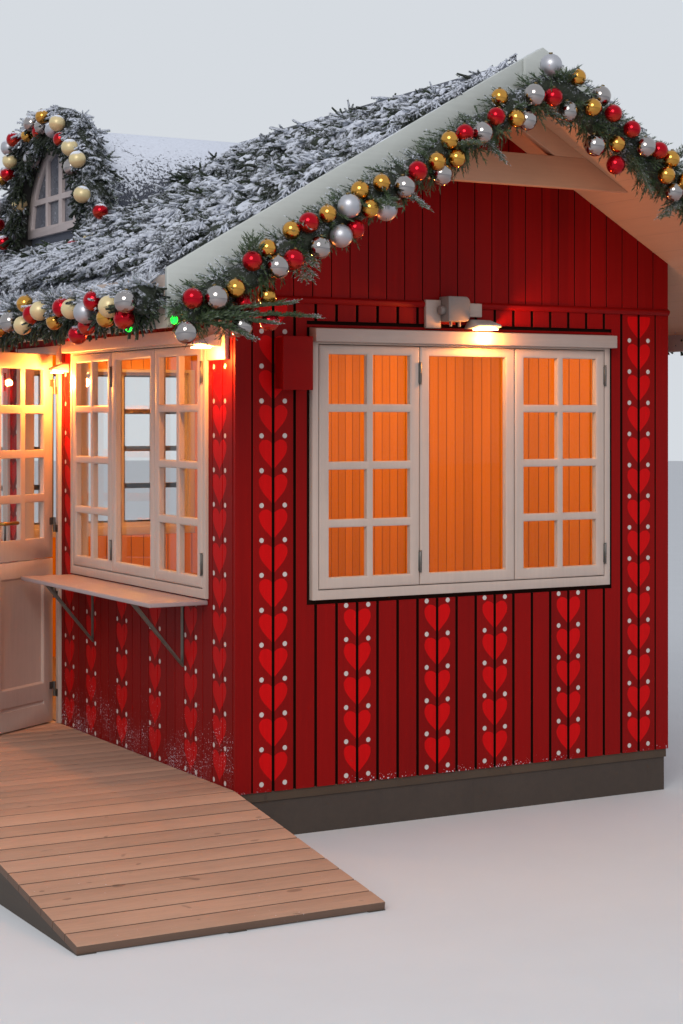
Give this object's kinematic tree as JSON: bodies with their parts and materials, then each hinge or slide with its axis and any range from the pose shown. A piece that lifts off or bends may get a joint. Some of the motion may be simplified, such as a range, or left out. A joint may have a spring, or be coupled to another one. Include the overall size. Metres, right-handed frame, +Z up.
{
  "type": "wooden market hut",
  "caption": "Boarded wooden market hut with casement windows, serving shelves, a two-part door, a barrel dormer, fir garlands, and a timber deck with a ramp.",
  "frame": {"origin": "on level ground under the centre of the hut's plan, where the middle ground beam rests", "axes": "+X to the right along the gable front, +Y back along the serving side, +Z up"},
  "size_m": [4.2725, 6.7058, 3.4713],
  "materials": {
    "red_boards": "painted matt, weathered",
    "cream_paint": "painted, satin",
    "soffit_paint": "painted, matt",
    "grey_timber": "weathered, bare",
    "floor_timber": "bare boards",
    "beam_timber": "dark stained",
    "roof_felt": "mineral felt",
    "window_glass": "clear",
    "frosted_glass": "grey, dull",
    "hinge_steel": "grey",
    "bracket_steel": "grey",
    "lock_brass": "aged",
    "lamp_white": "matt",
    "fir_needles": "fir branches with snow"
  },
  "bodies": {
    "hut": {"ground_beams": "beam_timber", "floor": "floor_timber", "front_wall": "red_boards", "rear_wall": "red_boards", "right_wall": "red_boards", "serving_wall_near": "red_boards", "serving_wall_far": "red_boards", "wall_over_door": "red_boards", "belt_mouldings": "red_boards", "window_casings": "cream_paint", "window_sashes": "cream_paint", "window_glass": "window_glass", "window_head_boards": "cream_paint", "door_frame": "cream_paint", "door_frame_hinges": "hinge_steel", "roof_left": "roof_felt", "roof_right": "roof_felt", "ridge_cap": "roof_felt", "bargeboards": "cream_paint", "peak_pieces": "cream_paint", "eave_fascias": "cream_paint", "truss_rafters": "soffit_paint", "truss_collars": "soffit_paint", "dormer_roof": "roof_felt", "dormer_front": "roof_felt", "dormer_window": "cream_paint", "dormer_glass": "frosted_glass", "shelves": "cream_paint", "shelf_brackets": "bracket_steel", "deck_boards": "grey_timber", "ramp_boards": "grey_timber", "deck_joists": "beam_timber", "meter_box": "red_boards", "lamp_boards": "cream_paint", "lamps": "lamp_white", "branch_cover": "fir_needles", "gable_garlands": "fir_needles", "eave_garlands": "fir_needles", "dormer_garland": "fir_needles"},
    "door_lower": {"door_lower_leaf": "cream_paint", "lower_leaf_hinges": "hinge_steel"},
    "door_upper": {"door_upper_leaf": "cream_paint", "door_glass": "window_glass", "upper_leaf_hinges": "hinge_steel", "door_lock_plate": "lock_brass"},
    "door_handle": {"door_lever": "lock_brass"}
  },
  "joints": [
    {"name": "lower_leaf_swing", "type": "hinge", "parent": "hut", "child": "door_lower", "pos_m": [-1.189, -0.268, 0], "axis": [0, 0, 1], "range_deg": [-125, 0]},
    {"name": "upper_leaf_swing", "type": "hinge", "parent": "hut", "child": "door_upper", "pos_m": [-1.189, -0.268, 0], "axis": [0, 0, 1], "range_deg": [-125, 0]},
    {"name": "lever_turn", "type": "hinge", "parent": "door_upper", "child": "door_handle", "pos_m": [-1.59686, -0.54504, 1.275], "axis": [0.5736, -0.8192, 0], "range_deg": [-40, 0]}
  ]
}
